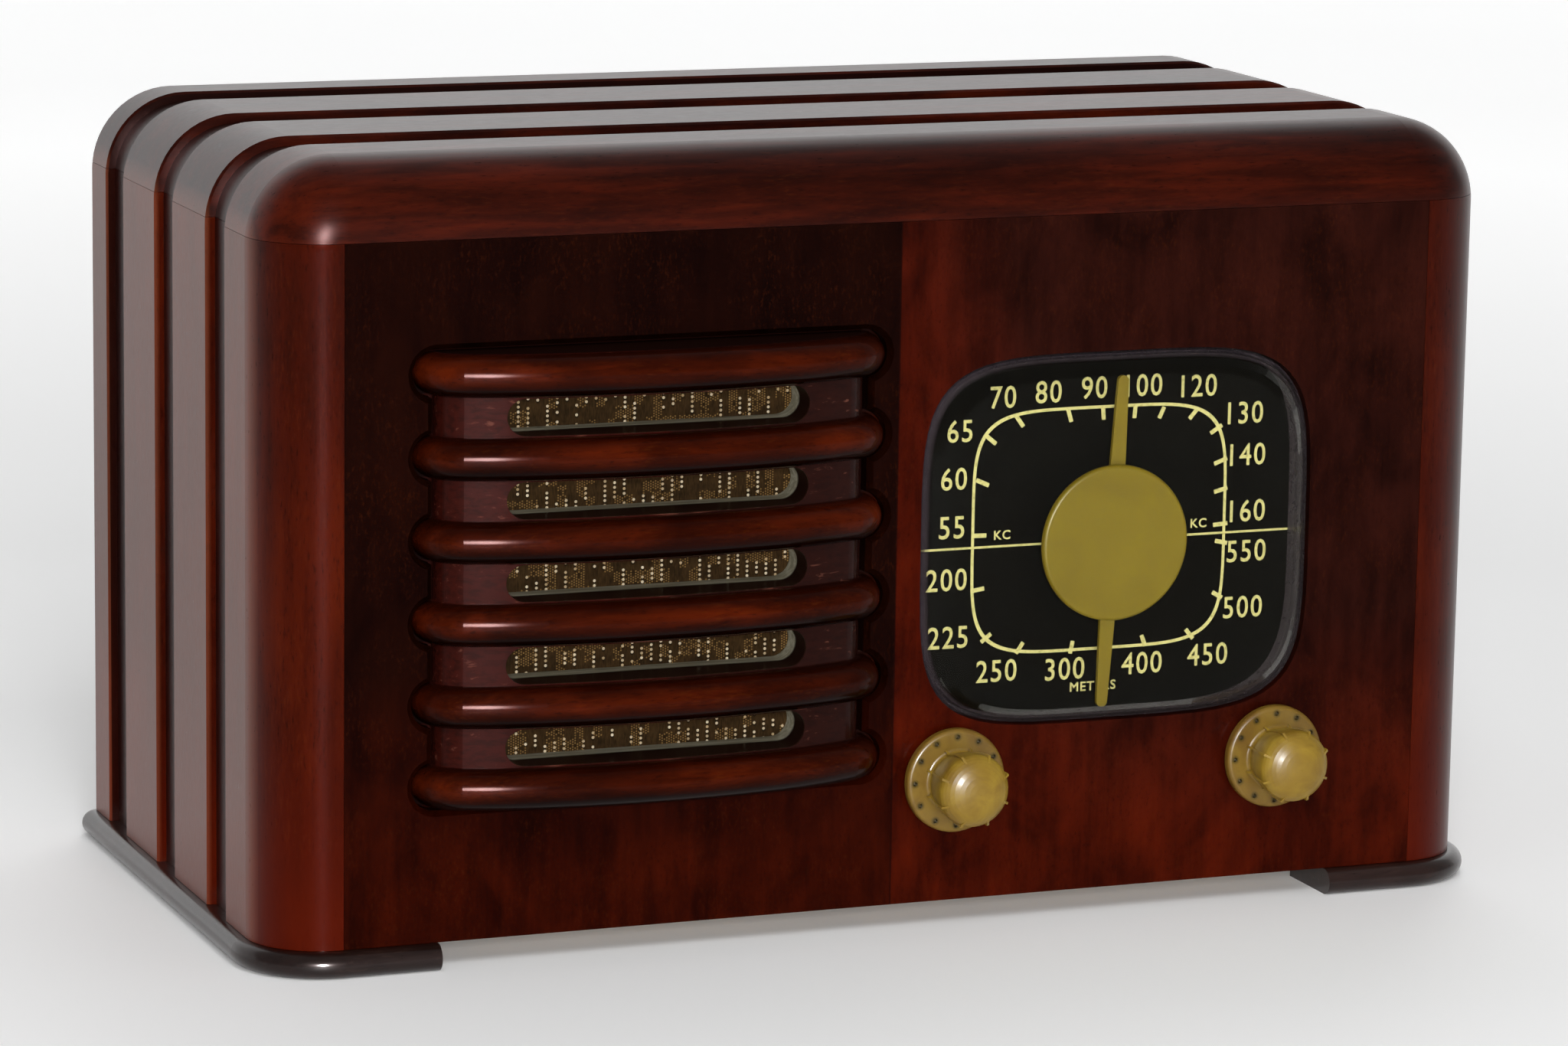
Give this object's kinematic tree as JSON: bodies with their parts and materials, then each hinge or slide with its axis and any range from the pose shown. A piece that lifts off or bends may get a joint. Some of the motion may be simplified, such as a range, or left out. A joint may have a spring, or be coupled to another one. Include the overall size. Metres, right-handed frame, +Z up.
{
  "type": "table radio",
  "caption": "Wooden table radio with rounded channelled cabinet, louvred speaker grille, round-cornered dial with disc pointer, fluted knobs and dark foot mouldings.",
  "frame": {"origin": "on the table under the middle of the whole radio, knobs and feet included", "axes": "+Z up, the front with grille and dial faces -Y, +X to the right seen from the front"},
  "size_m": [0.348, 0.1892, 0.207],
  "materials": {
    "cabinet_wood": "gloss lacquer over red-brown mahogany",
    "panel_wood": "gloss lacquer over dark mahogany veneer",
    "plain_wood": "bare softwood",
    "foot_wood": "gloss dark brown",
    "cloth": "woven",
    "board": "bare fibreboard",
    "lens": "clear moulded plastic",
    "dial_black": "satin black with printed scale",
    "steel": "zinc plated",
    "pointer_plastic": "translucent moulded",
    "aluminium": "bright",
    "brass": "worn",
    "cord": "waxed cord",
    "knob_plastic": "aged ivory, polished",
    "control_body": "phenolic",
    "basket_paint": "matt grey paint",
    "magnet_paint": "painted",
    "felt": "pressed felt",
    "spider_cloth": "varnished cloth",
    "cone_paper": "pressed paper",
    "coil": "enamelled wire on a paper former",
    "transformer": "black stampings",
    "chassis": "plated sheet",
    "phenolic": "moulded phenolic",
    "tube_base": "black phenolic",
    "tube_glass": "clear",
    "tube_metal": "carbonised nickel",
    "can": "drawn can",
    "wax": "waxed paper",
    "coil_form": "varnished paper tube with winding",
    "ceramic": "moulded",
    "lamp_glass": "frosted",
    "rubber": "moulded",
    "loop": "wound wire on card",
    "fibre": "pressed fibre"
  },
  "bodies": {
    "cabinet": {"top_board": "cabinet_wood", "side_board_left": "cabinet_wood", "side_board_right": "cabinet_wood", "front_panel": "panel_wood", "bottom_board": "plain_wood", "rear_cleats": "plain_wood", "glue_blocks": "plain_wood", "foot_left": "foot_wood", "foot_right": "foot_wood", "grille_insert": "cabinet_wood", "grille_cloth": "cloth", "speaker_board": "board", "dial_lens": "lens", "dial_plate": "dial_black", "dial_bracket": "steel", "lamp_sockets": "ceramic", "dial_lamps": "lamp_glass", "gang_frame": "steel", "gang_stators": "aluminium", "gang_posts": "rubber", "dial_cord": "cord", "tuning_bush": "brass", "volume_control": "control_body", "control_nuts": "brass", "speaker_frame": "basket_paint", "speaker_magnet": "magnet_paint", "speaker_surround": "felt", "speaker_spider": "spider_cloth", "output_transformer": "transformer", "speaker_bolts": "steel", "board_screws": "steel", "chassis_pan": "chassis", "chassis_bolts": "steel", "tube_sockets": "phenolic", "tube_bases": "tube_base", "tube_glass": "tube_glass", "tube_plates": "tube_metal", "if_cans": "can", "filter_capacitor": "can", "oscillator_coil": "coil_form", "paper_capacitors": "wax", "cord_grommet": "rubber", "loop_aerial": "loop", "rear_cover": "fibre", "rear_cover_screws": "brass"},
    "gang": {"gang_rotor": "aluminium", "cord_drum": "brass", "pointer": "pointer_plastic"},
    "tuning": {"tuning_shaft": "steel", "tuning_knob": "knob_plastic"},
    "volume": {"volume_shaft": "steel", "volume_knob": "knob_plastic"},
    "cone": {"speaker_cone": "cone_paper", "voice_coil": "coil"}
  },
  "joints": [
    {"name": "gang_turn", "type": "hinge", "parent": "cabinet", "child": "gang", "pos_m": [0.0625, -0.0504, 0.099], "axis": [0, 1, 0], "range_deg": [-92.7, 87.3]},
    {"name": "tuning_turn", "type": "hinge", "parent": "cabinet", "child": "tuning", "pos_m": [0.1076, -0.0504, 0.0398], "axis": [0, 1, 0], "range_deg": [-620, 585]},
    {"name": "volume_turn", "type": "hinge", "parent": "cabinet", "child": "volume", "pos_m": [0.0156, -0.0504, 0.0398], "axis": [0, 1, 0], "range_deg": [0, 300]},
    {"name": "cone_throw", "type": "slide", "parent": "cabinet", "child": "cone", "axis": [0, -1, 0], "range_m": [-0.0008, 0.0008], "stiffness_N_per_m": 2500}
  ],
  "couplings": [
    {"joint": "tuning_turn", "follows": "gang_turn", "ratio": 6.6522}
  ]
}
